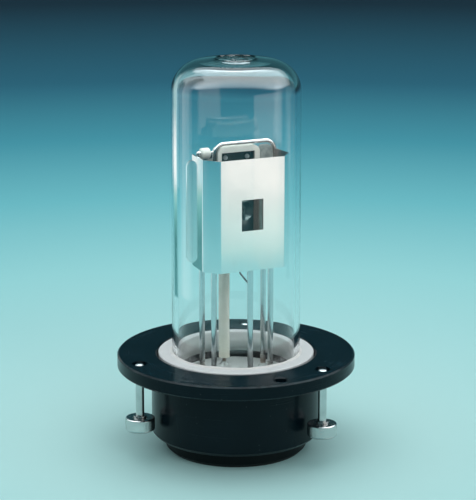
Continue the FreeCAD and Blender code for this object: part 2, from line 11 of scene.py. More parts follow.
import bmesh
import bpy
import numpy as np
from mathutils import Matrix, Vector


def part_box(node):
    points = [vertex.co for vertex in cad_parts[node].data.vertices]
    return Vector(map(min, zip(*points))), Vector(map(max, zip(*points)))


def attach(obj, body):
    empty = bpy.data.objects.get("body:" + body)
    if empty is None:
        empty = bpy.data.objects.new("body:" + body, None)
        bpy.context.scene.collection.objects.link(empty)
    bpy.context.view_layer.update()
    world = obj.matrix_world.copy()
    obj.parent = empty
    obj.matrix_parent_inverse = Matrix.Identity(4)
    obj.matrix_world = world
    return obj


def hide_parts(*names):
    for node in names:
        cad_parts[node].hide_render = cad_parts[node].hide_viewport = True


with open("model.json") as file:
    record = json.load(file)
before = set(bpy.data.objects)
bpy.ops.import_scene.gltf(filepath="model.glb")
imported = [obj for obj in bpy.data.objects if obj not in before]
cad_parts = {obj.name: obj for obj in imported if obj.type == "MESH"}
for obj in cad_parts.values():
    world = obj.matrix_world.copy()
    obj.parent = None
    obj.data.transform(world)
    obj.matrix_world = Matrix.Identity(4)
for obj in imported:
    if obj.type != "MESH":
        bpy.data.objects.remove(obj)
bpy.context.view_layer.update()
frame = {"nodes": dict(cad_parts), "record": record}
MM = 0.001
TURN = 2 * math.pi
print("pieces from the CAD:", len(frame["nodes"]))

# %% [markdown]
# ## Camera, floor and light
# The photograph was taken with a long lens, a little from above and from the left of the
# window. A long lens keeps upright edges nearly parallel. The numbers come from matching
# the flange's ellipses and the bulb's width in the picture.

# %% The camera
CAMERA_PLACE = Vector((-199.35, -441.52, 172.55)) * MM
CAMERA_TARGET = Vector((0.0, 0.0, 48.79)) * MM

camera_data = bpy.data.cameras.new("camera")
camera_data.lens = 151.57
camera_data.sensor_width = 36.0
camera_data.shift_x = 0.004
camera_data.clip_start = 0.01
camera_data.clip_end = 20.0
camera = bpy.data.objects.new("camera", camera_data)
camera.location = CAMERA_PLACE
camera.rotation_euler = (CAMERA_TARGET - CAMERA_PLACE).to_track_quat("-Z", "Y").to_euler()
bpy.context.collection.objects.link(camera)
bpy.context.scene.camera = camera
bpy.context.scene.view_settings.view_transform = "Standard"
print("camera distance in mm:", round((CAMERA_TARGET - CAMERA_PLACE).length / MM, 1))

# %% [markdown]
# Every node tree below is built with the same few helpers. `add` places a node and fills
# its sockets, and a socket's value may be a number, a colour or another node's output.
# That keeps each material to about one line for each thing it does.

# %% Node helpers
def add(tree, kind, **values):
    """Place a node. Plain names set its attributes, and inputs gives each socket its value."""
    made = tree.nodes.new(kind)
    inputs = values.pop("inputs", {})
    for name, value in values.items():
        setattr(made, name, value)
    for key, value in inputs.items():
        socket = made.inputs[key]
        if isinstance(value, bpy.types.NodeSocket):
            tree.links.new(value, socket)
        else:
            socket.default_value = value
    return made


def sums(tree, operation, first, second=0.0, third=0.0):
    """One Math node's result."""
    made = add(tree, "ShaderNodeMath", operation=operation, inputs={0: first, 1: second, 2: third})
    return made.outputs[0]


def times(tree, first, *others):
    """The product of several values."""
    for other in others:
        first = sums(tree, "MULTIPLY", first, other)
    return first


def held(tree, value):
    """A value held between 0 and 1."""
    return sums(tree, "MINIMUM", sums(tree, "MAXIMUM", value, 0.0), 1.0)


def hypotenuse(tree, first, second):
    """The root of first squared plus second squared."""
    squares = sums(tree, "MULTIPLY_ADD", first, first, sums(tree, "MULTIPLY", second, second))
    return sums(tree, "SQRT", squares)


def rescale(tree, value, low, high, new_low=0.0, new_high=1.0):
    """Carry a value from one range to another, held at both ends."""
    made = add(tree, "ShaderNodeMapRange", inputs={
        "Value": value, "From Min": low, "From Max": high, "To Min": new_low, "To Max": new_high})
    return made.outputs["Result"]


def split(tree, place):
    """The X, Y and Z of a place."""
    return add(tree, "ShaderNodeSeparateXYZ", inputs={0: place}).outputs


def object_place(tree):
    """The place on the object, in metres."""
    return add(tree, "ShaderNodeTexCoord").outputs["Object"]


# %% [markdown]
# Colours are blended by a mask or read from a ramp, and two shaders are mixed by a share.

# %% Colour helpers
def rgb(red, green, blue):
    """A colour with full alpha."""
    return (red, green, blue, 1.0)


def blend_colours(tree, mask, first, second):
    """first where the mask is 0, second where it is 1."""
    made = add(tree, "ShaderNodeMix", data_type="RGBA", inputs={0: mask, 6: first, 7: second})
    return made.outputs[2]


def colour_by(tree, value, stops):
    """A colour ramp over the range of its stops, which are (value, colour), lowest first."""
    low, high = stops[0][0], stops[-1][0]
    ramp = add(tree, "ShaderNodeValToRGB", inputs={0: rescale(tree, value, low, high)})
    elements = ramp.color_ramp.elements
    elements.remove(elements[1])
    elements[0].position, elements[0].color = 0.0, stops[0][1]
    for position, colour in stops[1:]:
        elements.new((position - low) / (high - low)).color = colour
    return ramp.outputs[0]


def mix_to_surface(tree, share, first, second):
    """Send the first shader where the share is 0, and the second where it is 1, to the surface."""
    mixed = add(tree, "ShaderNodeMixShader", inputs={0: share, 1: first, 2: second})
    tree.links.new(mixed.outputs[0], tree.nodes["Material Output"].inputs["Surface"])


# %% [markdown]
# The floor is a wide plain sheet. It is pale beside the lamp and turns to a deep blue far
# away: that darkening is painted light, the falloff of the studio light drawn into the
# paper's colour. The camera looks down, so the floor fills the whole picture and is also
# what the glass bends and mirrors. A colour ramp holds one colour for each distance in metres.

# %% The floor
# Pale paper near the lamp, then painted light falloff down to a dark blue further away.
PAPER_AND_PAINTED_FALLOFF = [
    (0.05, rgb(0.55, 0.90, 0.88)), (0.17, rgb(0.37, 0.80, 0.81)), (0.27, rgb(0.18, 0.60, 0.66)),
    (0.38, rgb(0.065, 0.35, 0.44)), (0.52, rgb(0.020, 0.14, 0.21)),
    (0.80, rgb(0.005, 0.030, 0.050)), (1.10, rgb(0.003, 0.012, 0.020)),
]


def make_floor(radius=4.0, sides=96):
    """A flat disc: point(i) = (radius cos t, radius sin t, 0)."""
    t = np.linspace(0, TURN, sides, endpoint=False)
    rim = np.stack([radius * np.cos(t), radius * np.sin(t), np.zeros(sides)], axis=1)
    mesh = bpy.data.meshes.new("floor")
    mesh.from_pydata(rim.tolist(), [], [list(range(sides))])
    floor = bpy.data.objects.new("floor", mesh)
    bpy.context.collection.objects.link(floor)
    return floor


def floor_material():
    """Pale matt paper whose colour darkens with the distance from the lamp: painted light falloff.
    """
    material = bpy.data.materials.new("studio paper with painted falloff")
    material.use_nodes = True
    tree = material.node_tree
    shader = tree.nodes["Principled BSDF"]
    distance = add(tree, "ShaderNodeVectorMath", operation="LENGTH",
                   inputs={0: object_place(tree)}).outputs["Value"]
    # The ramp paints the falloff of the studio light into the floor's colour.
    tree.links.new(colour_by(tree, distance, PAPER_AND_PAINTED_FALLOFF), shader.inputs["Base Color"])
    shader.inputs["Roughness"].default_value = 0.9
    shader.inputs["Specular IOR Level"].default_value = 0.15
    return material


floor = make_floor()
floor.data.materials.append(floor_material())
print("floor radius in m:", round(floor.dimensions.x / 2, 2))

# %% [markdown]
# Matt surfaces get plain soft light from two large lamps and from the world. Mirrors and
# glass don't see those lamps: they see a calm dark room that is a little lighter at the
# horizon, and the cards of the next step.

# %% The lamps and the room
HORIZON_TOP = 0.16
ROOM_TOP = 0.8


def soft_box(name, place, aim, width, height, power):
    """A rectangular lamp that faces a point and lights matt surfaces only."""
    data = bpy.data.lights.new(name, "AREA")
    data.shape = "RECTANGLE"
    data.size = width
    data.size_y = height
    data.energy = power
    lamp = bpy.data.objects.new(name, data)
    lamp.location = place
    lamp.rotation_euler = (Vector(aim) - Vector(place)).to_track_quat("-Z", "Y").to_euler()
    lamp.visible_camera = lamp.visible_glossy = lamp.visible_transmission = False
    bpy.context.collection.objects.link(lamp)


def room_light():
    """Even light for matt surfaces, and a room with a pale horizon for mirrors and glass."""
    world = bpy.data.worlds.new("room")
    bpy.context.scene.world = world
    world.use_nodes = True
    tree = world.node_tree
    background = tree.nodes["Background"]
    height = split(tree, add(tree, "ShaderNodeTexCoord").outputs["Generated"])["Z"]
    low = rescale(tree, height, 0.0, HORIZON_TOP)
    high = rescale(tree, height, HORIZON_TOP, ROOM_TOP)
    room = blend_colours(tree, low, rgb(0.060, 0.21, 0.25), rgb(0.026, 0.095, 0.115))
    room = blend_colours(tree, high, room, rgb(0.008, 0.028, 0.036))
    rays = add(tree, "ShaderNodeLightPath").outputs
    seen = sums(tree, "MAXIMUM", rays["Is Camera Ray"], rays["Is Glossy Ray"])
    seen = sums(tree, "MAXIMUM", seen, rays["Is Transmission Ray"])
    colour = blend_colours(tree, seen, rgb(0.42, 0.45, 0.47), room)
    tree.links.new(colour, background.inputs["Color"])
    background.inputs["Strength"].default_value = 1.0


soft_box("ceiling light", (0.02, 0.05, 0.70), (0.02, 0.05, 0.0), 1.0, 1.0, 2.4)
soft_box("front light", (-0.05, -0.80, 0.50), (0.0, 0.0, 0.05), 0.5, 0.4, 1.2)
room_light()

# %% [markdown]
# Upright cards stand close beside the lamp and a wide one hangs above it, and glass and
# metal mirror them. Seen straight through the bulb they would spoil the picture, so their
# material asks the Light Path for the number of bounces: with none the card is clear, and
# from one on it glows. Each card's colour changes along one axis, as light does on a real
# reflector. Matt surfaces see the cards only through the glass, so the cards light the
# ceramic in the bulb and leave the floor alone.

# %% A card that glows after a bounce
CARD_GLOW = 1.25
CEILING_GLOW = 4.7


def card_material(name, axis, stops, glow):
    """Clear before the first bounce, and after it a glow coloured by the distance along an axis."""
    material = bpy.data.materials.new(name)
    material.use_nodes = True
    tree = material.node_tree
    tree.nodes.remove(tree.nodes["Principled BSDF"])
    along = add(tree, "ShaderNodeVectorMath", operation="DOT_PRODUCT",
                inputs={0: object_place(tree), 1: axis}).outputs["Value"]
    light = add(tree, "ShaderNodeEmission",
                inputs={"Color": colour_by(tree, along, stops), "Strength": glow})
    clear = add(tree, "ShaderNodeBsdfTransparent")
    path = add(tree, "ShaderNodeLightPath").outputs
    bounces = sums(tree, "ADD", path["Glossy Depth"], path["Diffuse Depth"])
    bounced = sums(tree, "GREATER_THAN", bounces, 0.5)
    mix_to_surface(tree, bounced, clear.outputs[0], light.outputs[0])
    material.cycles.emission_sampling = "NONE"
    return material


def mirrored_card(name, corners, axis, stops, glow=CARD_GLOW):
    """A flat card that shows only in mirrors and glass. stops are (distance in metres, colour)."""
    mesh = bpy.data.meshes.new(name)
    mesh.from_pydata(corners, [], [list(range(len(corners)))])
    mesh.materials.append(card_material(name, axis, stops, glow))
    card = bpy.data.objects.new(name, mesh)
    bpy.context.collection.objects.link(card)
    card.visible_camera = card.visible_diffuse = card.visible_shadow = False


def upright_card(name, angle, distance, width, stops):
    """A card that faces the lamp from an angle to the camera's left, as high as its stops."""
    turn = math.atan2(CAMERA_PLACE.y, CAMERA_PLACE.x) - math.radians(angle)
    foot = Vector((distance * math.cos(turn), distance * math.sin(turn), stops[0][0]))
    across = Vector((-foot.y, foot.x, 0.0)).normalized() * width / 2
    rise = Vector((0.0, 0.0, stops[-1][0] - stops[0][0]))
    corners = [foot - across, foot + across, foot + across + rise, foot - across + rise]
    mirrored_card(name, corners, (0.0, 0.0, 1.0), stops)


def ceiling_card(stops, height=0.55, half_width=1.45, sides=0.20, steps=25):
    """Straight at the back, and at the front an arc: point(t) = (w cos t, s - (s - f) sin t)."""
    front, back = stops[0][0], stops[-1][0]
    away = -Vector((CAMERA_PLACE.x, CAMERA_PLACE.y, 0.0)).normalized()
    left = np.array([-away.y, away.x, 0.0])
    t = np.linspace(0, math.pi, steps)
    across = np.concatenate([[-half_width, half_width], half_width * np.cos(t)])
    reach = np.concatenate([[back, back], sides - (sides - front) * np.sin(t)])
    corners = across[:, None] * left + reach[:, None] * np.array(away) + [0.0, 0.0, height]
    mirrored_card("ceiling_card", corners.tolist(), away, stops, glow=CEILING_GLOW)


# %% [markdown]
# The ceiling card draws the bright crescent in the crown. The back and side cards draw
# the pale upright lines in the bulb, and the other two are what the shield mirrors in
# its narrow panel and in its front.

# %% The cards
ceiling_card([
    (-0.45, rgb(0.42, 0.51, 0.53)), (-0.15, rgb(0.86, 0.97, 1.00)),
    (0.35, rgb(0.48, 0.55, 0.58)), (0.65, rgb(0.33, 0.38, 0.40))])
upright_card("back_card", 127, 0.13, 0.027, [
    (0.038, rgb(0.44, 0.68, 0.72)), (0.260, rgb(0.40, 0.50, 0.54))])
upright_card("side_card", 98, 0.13, 0.060, [
    (0.005, rgb(0.80, 0.95, 0.96)), (0.255, rgb(0.84, 0.88, 0.90))])
upright_card("panel_card", 138, 0.14, 0.040, [
    (0.001, rgb(0.045, 0.20, 0.21)), (0.018, rgb(0.045, 0.18, 0.18)),
    (0.023, rgb(0.08, 0.26, 0.25)), (0.029, rgb(0.16, 0.42, 0.40)),
    (0.033, rgb(0.28, 0.52, 0.49)), (0.036, rgb(0.55, 0.68, 0.67)),
    (0.040, rgb(0.84, 0.87, 0.85)), (0.046, rgb(0.84, 0.87, 0.85)),
    (0.060, rgb(0.26, 0.42, 0.43)), (0.200, rgb(0.22, 0.36, 0.38))])
upright_card("front_card", -57, 0.19, 0.182, [
    (0.001, rgb(0.40, 0.65, 0.60)), (0.005, rgb(0.46, 0.65, 0.62)),
    (0.008, rgb(0.54, 0.71, 0.68)), (0.011, rgb(0.62, 0.76, 0.72)),
    (0.018, rgb(0.65, 0.74, 0.70)), (0.023, rgb(0.75, 0.77, 0.74)),
    (0.027, rgb(0.84, 0.83, 0.79)), (0.132, rgb(0.90, 0.90, 0.90))])

# %% [markdown]
# ## Mesh helpers
# Nearly every piece of this lamp is turned on a lathe, blown on one or bent from wire. So
# two kinds of surface are enough: a profile turned about an axis, and a ring carried
# along a path. Both are grids of points worked out by numpy in one go, and the quads
# between neighbours are worked out the same way.

# %% Grids to meshes
def grid_faces(rows, columns, closed_rows):
    """Quads between neighbours of a grid whose columns run round and close."""
    row, column = np.meshgrid(np.arange(rows if closed_rows else rows - 1), np.arange(columns),
                              indexing="ij")
    below = (row + 1) % rows
    right = (column + 1) % columns
    corners = [row * columns + column, row * columns + right,
               below * columns + right, below * columns + column]
    return np.stack(corners, axis=-1).reshape(-1, 4)


def make_piece(name, grid, closed_rows=False, sharp=None):
    """A mesh object from a grid of points, with poles and seams closed and faces outwards."""
    rows, columns = grid.shape[:2]
    faces = grid_faces(rows, columns, closed_rows)
    mesh = bpy.data.meshes.new(name)
    mesh.from_pydata(grid.reshape(-1, 3).tolist(), [], faces.tolist())
    work = bmesh.new()
    work.from_mesh(mesh)
    bmesh.ops.remove_doubles(work, verts=work.verts, dist=1e-7)
    bmesh.ops.recalc_face_normals(work, faces=work.faces)
    for face in work.faces:
        face.smooth = True
    if sharp is not None:
        for edge in work.edges:
            edge.smooth = edge.calc_face_angle(0.0) < math.radians(sharp)
    work.to_mesh(mesh)
    work.free()
    piece = bpy.data.objects.new(name, mesh)
    bpy.context.collection.objects.link(piece)
    print(name, len(mesh.polygons), "faces")
    return piece


def round_angles(steps):
    """Angles once round, as one row of a grid."""
    return np.linspace(0, TURN, steps, endpoint=False)[None, :]


def turned_grid(radius, height, angle, centre=(0.0, 0.0)):
    """point(i, t) = (x + r cos t, y + r sin t, z), where r and z may be tables of i and t."""
    r, z, t = np.broadcast_arrays(radius, height, angle)
    return np.stack([centre[0] + r * np.cos(t), centre[1] + r * np.sin(t), z], axis=-1)


def tube_grid(path, radius, steps, reference):
    """point(i, t) = path_i + radius (cos t side_i + sin t up_i).

    side_i is square to the path and to a reference direction."""
    along = np.gradient(path, axis=0)
    along /= np.linalg.norm(along, axis=1, keepdims=True)
    side = np.cross(along, reference)
    side /= np.linalg.norm(side, axis=1, keepdims=True)
    up = np.cross(side, along)
    t = round_angles(steps)[:, :, None]
    ring = np.cos(t) * side[:, None, :] + np.sin(t) * up[:, None, :]
    return path[:, None, :] + radius.reshape(-1, 1, 1) * ring


def ends_closed(path, radius):
    """Repeat both end points with no radius, to close the tube's ends.

    A known fault: a repeated point has no direction, so tube_grid can't place its ring."""
    wide = np.concatenate([[0.0], np.full(len(path), radius), [0.0]])
    return np.concatenate([path[:1], path, path[-1:]]), wide


# %% [markdown]
# ## Shared effects
# Real finishes differ from a flat colour in a few ways that come back on every piece:
# soft patches, lathe marks, rolled or drawn grain, worn edges and specks of dust. Each is
# a node group with its own inputs, built once. A group only puts out a value or a mask,
# and the shader itself stays in the material.

# %% Group helpers
def effect(name, numbers, build):
    """A group with inputs by name and first value, whose output is build(tree, inputs)."""
    group = bpy.data.node_groups.new(name, "ShaderNodeTree")
    for label, value in numbers.items():
        socket = group.interface.new_socket(label, in_out="INPUT", socket_type="NodeSocketFloat")
        socket.default_value = value
    group.interface.new_socket("Value", in_out="OUTPUT", socket_type="NodeSocketFloat")
    inputs = group.nodes.new("NodeGroupInput").outputs
    result = build(group, inputs)
    group.links.new(result, group.nodes.new("NodeGroupOutput").inputs["Value"])
    return group


def use(tree, group, **numbers):
    """Place a group and return its value. Input names are written with low lines."""
    made = add(tree, "ShaderNodeGroup", node_tree=group)
    for label, value in numbers.items():
        made.inputs[label.replace("_", " ")].default_value = value
    return made.outputs["Value"]


# %% [markdown]
# Soft patches are noise on the object's own coordinates. Rings, drawn lines and specks
# are noise too, with the coordinates changed first: rings read only the distance from a
# lathe's axis, and drawn lines squeeze one direction. Noise mostly lies between 0.3 and
# 0.7, so it is stretched before it is used as a mask.

# %% Patches, rings and drawn lines
def noise(tree, place, size, detail, roughness=0.5):
    """Smooth noise."""
    made = add(tree, "ShaderNodeTexNoise", inputs={
        "Vector": place, "Scale": size, "Detail": detail, "Roughness": roughness})
    return made.outputs["Fac"]


def build_patches(tree, inputs):
    """Noise of one size, stretched to the full range from 0 to 1."""
    return rescale(tree, noise(tree, object_place(tree), inputs["Size"], 4.0, 0.55), 0.3, 0.7)


def build_waves(tree, inputs):
    """Slow smooth noise, left unstretched, for the waves of sheet."""
    return noise(tree, object_place(tree), inputs["Size"], 1.0)


def build_rings(tree, inputs):
    """Lathe marks: noise that reads the distance from the Z axis, and the height."""
    parts = split(tree, object_place(tree))
    radius = hypotenuse(tree, parts["X"], parts["Y"])
    across = add(tree, "ShaderNodeCombineXYZ", inputs={0: radius, 1: 0.0, 2: parts["Z"]}).outputs[0]
    return rescale(tree, noise(tree, across, inputs["Fineness"], 3.0, 0.7), 0.3, 0.7)


def build_drawn(tree, inputs):
    """Rolling or drawing marks: noise squeezed across and stretched along the height."""
    squeezed = add(tree, "ShaderNodeMapping",
                   inputs={"Vector": object_place(tree), "Scale": (1.0, 1.0, 0.03)}).outputs[0]
    return rescale(tree, noise(tree, squeezed, inputs["Fineness"], 4.0, 0.65), 0.3, 0.7)


def build_specks(tree, inputs):
    """Dust: small round dots, of which the cells' own colours choose about a quarter."""
    cells = add(tree, "ShaderNodeTexVoronoi",
                inputs={"Vector": object_place(tree), "Scale": inputs["Size"]})
    dots = rescale(tree, cells.outputs["Distance"], 0.06, 0.13, 1.0, 0.0)
    colour = add(tree, "ShaderNodeSeparateColor", inputs={0: cells.outputs["Color"]}).outputs[0]
    return times(tree, dots, sums(tree, "GREATER_THAN", colour, 0.72))


patches = effect("soft patches", {"Size": 120.0}, build_patches)
waves = effect("slow waves", {"Size": 60.0}, build_waves)
rings = effect("lathe rings", {"Fineness": 2500.0}, build_rings)
drawn = effect("drawn lines", {"Fineness": 2500.0}, build_drawn)
specks = effect("dust specks", {"Size": 900.0}, build_specks)
print("grain groups:", [g.name for g in bpy.data.node_groups])

# %% [markdown]
# The wear on an edge of a turned piece lies on a circle, so its mask needs no search: it is
# the distance from that circle, worked out from the radius and the height, and broken up
# by patches so that it comes and goes. On the black holder that paler line is partly wear
# and partly a painted highlight. A band at one height marks where hot glass met a wire,
# and a round spot marks the melted seal. Faces that look inwards, and the slot of the
# ceramic block, are darkened: painted shade.

# %% Edges with wear and painted highlight, bands and painted shade
SPOT_RIM = 0.6 * MM


def build_edge(tree, inputs):
    """1 on the circle of a given radius and height about Z, and 0 beyond the width."""
    place = object_place(tree)
    parts = split(tree, place)
    out = sums(tree, "SUBTRACT", hypotenuse(tree, parts["Y"], parts["X"]), inputs["Radius"])
    rise = sums(tree, "SUBTRACT", parts["Z"], inputs["Height"])
    off = sums(tree, "DIVIDE", hypotenuse(tree, out, rise), inputs["Width"])
    near = sums(tree, "MAXIMUM", sums(tree, "SUBTRACT", 1.0, off), 0.0)
    return times(tree, near, rescale(tree, noise(tree, place, 700.0, 3.0), 0.35, 0.6))


def build_band(tree, inputs):
    """1 at one height, fading to 0 over a spread above and below it."""
    height = split(tree, object_place(tree))["Z"]
    off = sums(tree, "ABSOLUTE", sums(tree, "SUBTRACT", height, inputs["Height"]))
    near = sums(tree, "SUBTRACT", 1.0, sums(tree, "DIVIDE", off, inputs["Spread"]))
    return sums(tree, "MAXIMUM", near, 0.0)


def build_spot(tree, inputs):
    """1 inside an upright cylinder about Z and above a height, with a soft rim."""
    parts = split(tree, object_place(tree))
    inward = sums(tree, "SUBTRACT", inputs["Radius"], hypotenuse(tree, parts["Y"], parts["X"]))
    within = held(tree, sums(tree, "DIVIDE", inward, SPOT_RIM))
    return times(tree, within, sums(tree, "GREATER_THAN", parts["Z"], inputs["Height"]))


def build_inner(tree, inputs):
    """A share on faces that look towards Z: normal and level place point apart."""
    seen = add(tree, "ShaderNodeTexCoord").outputs
    place = add(tree, "ShaderNodeVectorMath", operation="MULTIPLY",
                inputs={0: seen["Object"], 1: (1.0, 1.0, 0.0)}).outputs[0]
    facing = add(tree, "ShaderNodeVectorMath", operation="DOT_PRODUCT",
                 inputs={0: seen["Normal"], 1: place}).outputs["Value"]
    return times(tree, inputs["Share"], sums(tree, "LESS_THAN", facing, 0.0))


def build_hollow(tree, inputs):
    """0 at a front plane, rising to a share at a depth behind it, inside a block."""
    parts = split(tree, object_place(tree))
    behind = sums(tree, "SUBTRACT", parts["Y"], inputs["Front"])
    off = sums(tree, "ABSOLUTE", sums(tree, "SUBTRACT", parts["X"], inputs["Middle"]))
    return times(tree, inputs["Share"],
                 held(tree, sums(tree, "DIVIDE", behind, inputs["Depth"])),
                 sums(tree, "LESS_THAN", parts["Y"], inputs["Back"]),
                 sums(tree, "LESS_THAN", off, inputs["Half Width"]),
                 sums(tree, "GREATER_THAN", parts["Z"], inputs["Bottom"]),
                 sums(tree, "LESS_THAN", parts["Z"], inputs["Top"]))


# This edge mask draws the holder's paler corner line: partly wear, partly a painted highlight.
edge = effect("edge wear and painted highlight", {"Radius": 0.01, "Height": 0.0, "Width": 0.0003}, build_edge)
band = effect("heat band", {"Height": 0.0, "Spread": 0.002}, build_band)
spot = effect("round spot", {"Radius": 0.004, "Height": 0.09}, build_spot)
# The inner-faces mask carries painted shade for the metal sheets.
inner = effect("inner faces", {"Share": 1.0}, build_inner)
# The hollow mask paints shade into the slot of the ceramic block.
hollow = effect("painted shade in hollow", {
    "Share": 1.0, "Front": 0.0, "Back": 0.0, "Depth": 0.001, "Middle": 0.0,
    "Half Width": 0.004, "Bottom": 0.0, "Top": 0.0}, build_hollow)
print("node groups:", len(bpy.data.node_groups))

# %% [markdown]
# ## Finishes
# Each finish starts from the same steps: a Principled shader, two colours blended by
# soft patches, a roughness that varies with them, and a bump from fine grain. What
# makes each finish its own is written beside it.

# %% A base for every finish
def start_finish(name, metallic=0.0, ior=1.5):
    """A new material with its tree and shader."""
    material = bpy.data.materials.new(name)
    material.use_nodes = True
    shader = material.node_tree.nodes["Principled BSDF"]
    shader.inputs["Metallic"].default_value = metallic
    shader.inputs["IOR"].default_value = ior
    return material, material.node_tree, shader


def shade(tree, shader, colour, roughness, height, depth):
    """Join a colour, a roughness and a bump to the shader. depth is the bump's, in metres."""
    tree.links.new(colour, shader.inputs["Base Color"])
    tree.links.new(roughness, shader.inputs["Roughness"])
    bump = add(tree, "ShaderNodeBump",
               inputs={"Height": height, "Distance": depth, "Strength": 1.0})
    tree.links.new(bump.outputs[0], shader.inputs["Normal"])


# %% [markdown]
# The holder is turned aluminium, anodised black. The dye leaves a deep satin black, and the
# teal cast in that black is a painted reflection of the room. The lathe's rings still show,
# and the sharp corners carry a paler teal line that is partly wear and partly a painted
# highlight.

# %% Black anodised metal, plastic and rubber
FLANGE_TOP = 23.8 * MM
FLANGE_UNDER = 20.4 * MM
FLANGE_RIM = 28.5 * MM
CORNER = 0.15 * MM


def anodised():
    """Satin black with a painted teal reflection, rings, smears, and corners with wear and a
    painted highlight.
    """
    material, tree, shader = start_finish("black anodised metal")
    soft = use(tree, patches, Size=90.0)
    turning = use(tree, rings, Fineness=3200.0)
    top_edge = use(tree, edge, Radius=FLANGE_RIM - CORNER, Height=FLANGE_TOP - CORNER,
                   Width=0.42 * MM)
    low_edge = use(tree, edge, Radius=FLANGE_RIM - CORNER, Height=FLANGE_UNDER + CORNER,
                   Width=0.35 * MM)
    # The paler line on the corners is partly wear and partly a painted highlight.
    wear_and_highlight = sums(tree, "MAXIMUM", top_edge, times(tree, low_edge, 0.6))
    dust = use(tree, specks, Size=700.0)
    # The teal cast in both blacks is a painted reflection of the room.
    base = blend_colours(tree, soft, rgb(0.0006, 0.0050, 0.0082), rgb(0.0014, 0.0074, 0.0115))
    base = blend_colours(tree, times(tree, wear_and_highlight, 0.28), base, rgb(0.06, 0.10, 0.11))
    base = blend_colours(tree, times(tree, dust, 0.10), base, rgb(0.25, 0.27, 0.28))
    rough = sums(tree, "MULTIPLY_ADD", turning, 0.05, 0.19)
    rough = sums(tree, "MULTIPLY_ADD", soft, 0.06, rough)
    shade(tree, shader, base, rough, turning, 0.0010 * MM)
    shader.inputs["Specular IOR Level"].default_value = 0.13
    return material


def black_plastic():
    """Moulded black plastic with a fine sparked grain."""
    material, tree, shader = start_finish("black moulded plastic", ior=1.49)
    soft = use(tree, patches, Size=70.0)
    grain = use(tree, patches, Size=5200.0)
    base = blend_colours(tree, soft, rgb(0.0012, 0.0028, 0.0038), rgb(0.0028, 0.0050, 0.0060))
    rough = sums(tree, "MULTIPLY_ADD", soft, 0.12, 0.40)
    shade(tree, shader, base, rough, grain, 0.006 * MM)
    shader.inputs["Specular IOR Level"].default_value = 0.14
    return material


def black_rubber():
    """Matt rubber, greyer where it has been handled."""
    material, tree, shader = start_finish("black rubber")
    soft = use(tree, patches, Size=300.0)
    grain = use(tree, patches, Size=3000.0)
    base = blend_colours(tree, soft, rgb(0.012, 0.012, 0.012), rgb(0.028, 0.028, 0.029))
    rough = sums(tree, "MULTIPLY_ADD", soft, 0.15, 0.65)
    shade(tree, shader, base, rough, grain, 0.01 * MM)
    return material


# %% [markdown]
# Bare metals differ in colour and in grain. Steel screws are turned and bright, nickel
# sheet is rolled and slightly wavy, wires are drawn, and wires that pass through hot
# glass carry a brown band of oxide just above it. Where shade is painted on faces that
# look inwards, the metal turns to a dull dark coat, so it also stops being metallic.

# %% Bare metals
STEM_TOP = 19.6 * MM
BAND_SPREAD = 3.2 * MM


def bare_metal(name, bright, dull, roughness, spread, grain, depth, wave=0.0, stain=0.0, painted_shade=0.0,
               mottle=0.18, metallic=1.0):
    """Metal in two tones, with a wave, a stain and painted shade. grain is a group and its inputs.
    """
    material, tree, shader = start_finish(name, metallic=metallic)
    group, inputs = grain
    soft = use(tree, patches, Size=160.0)
    lines = use(tree, group, **inputs)
    colour = blend_colours(tree, soft, bright, dull)
    colour = blend_colours(tree, times(tree, lines, mottle), colour, dull)
    rough = sums(tree, "MULTIPLY_ADD", soft, spread, roughness)
    height = lines
    if wave > 0:
        height = sums(tree, "MULTIPLY_ADD", use(tree, waves, Size=55.0), wave / depth, lines)
    if stain > 0:
        burnt = times(tree, use(tree, band, Height=STEM_TOP, Spread=BAND_SPREAD), stain)
        colour = blend_colours(tree, burnt, colour, rgb(0.20, 0.11, 0.05))
        rough = sums(tree, "MULTIPLY_ADD", burnt, 0.25, rough)
    # Painted shade: faces that look inwards are darkened, inside the shield and on the channel's
    # side wall.
    if painted_shade > 0:
        dark = use(tree, inner, Share=painted_shade)
        colour = blend_colours(tree, dark, colour, rgb(0.022, 0.040, 0.036))
        rough = sums(tree, "MULTIPLY_ADD", dark, 0.55, rough)
        sheen = sums(tree, "MULTIPLY_ADD", dark, -0.45, 0.5)
        tree.links.new(sums(tree, "SUBTRACT", 1.0, dark), shader.inputs["Metallic"])
        tree.links.new(sheen, shader.inputs["Specular IOR Level"])
    shade(tree, shader, colour, rough, height, depth)
    return material


ROLLED = (drawn, {"Fineness": 2600.0})
DRAWN = (drawn, {"Fineness": 6000.0})
CLOUDY = (patches, {"Size": 900.0})
TURNED = (patches, {"Size": 2600.0})


def nickel_sheet(name, painted_shade=0.0):
    """Bright rolled nickel."""
    return bare_metal(name, rgb(0.93, 0.93, 0.92), rgb(0.88, 0.885, 0.88),
                      0.085, 0.05, ROLLED, 0.0005 * MM, wave=0.04 * MM, painted_shade=painted_shade)


# %% [markdown]
# Ceramic is matt and has two close tones. A little dirt gathers in it as grey freckles.
# Cement is the same white but rough and grainy. The slot at the top of the ceramic block
# is darkened from its front plane inwards: painted shade.

# %% Ceramic and cement
SLOT = {"Front": -1.72 * MM, "Back": 0.7 * MM, "Depth": 0.7 * MM, "Middle": -0.15 * MM,
        "Half_Width": 4.35 * MM, "Bottom": 69.0 * MM, "Top": 73.0 * MM}


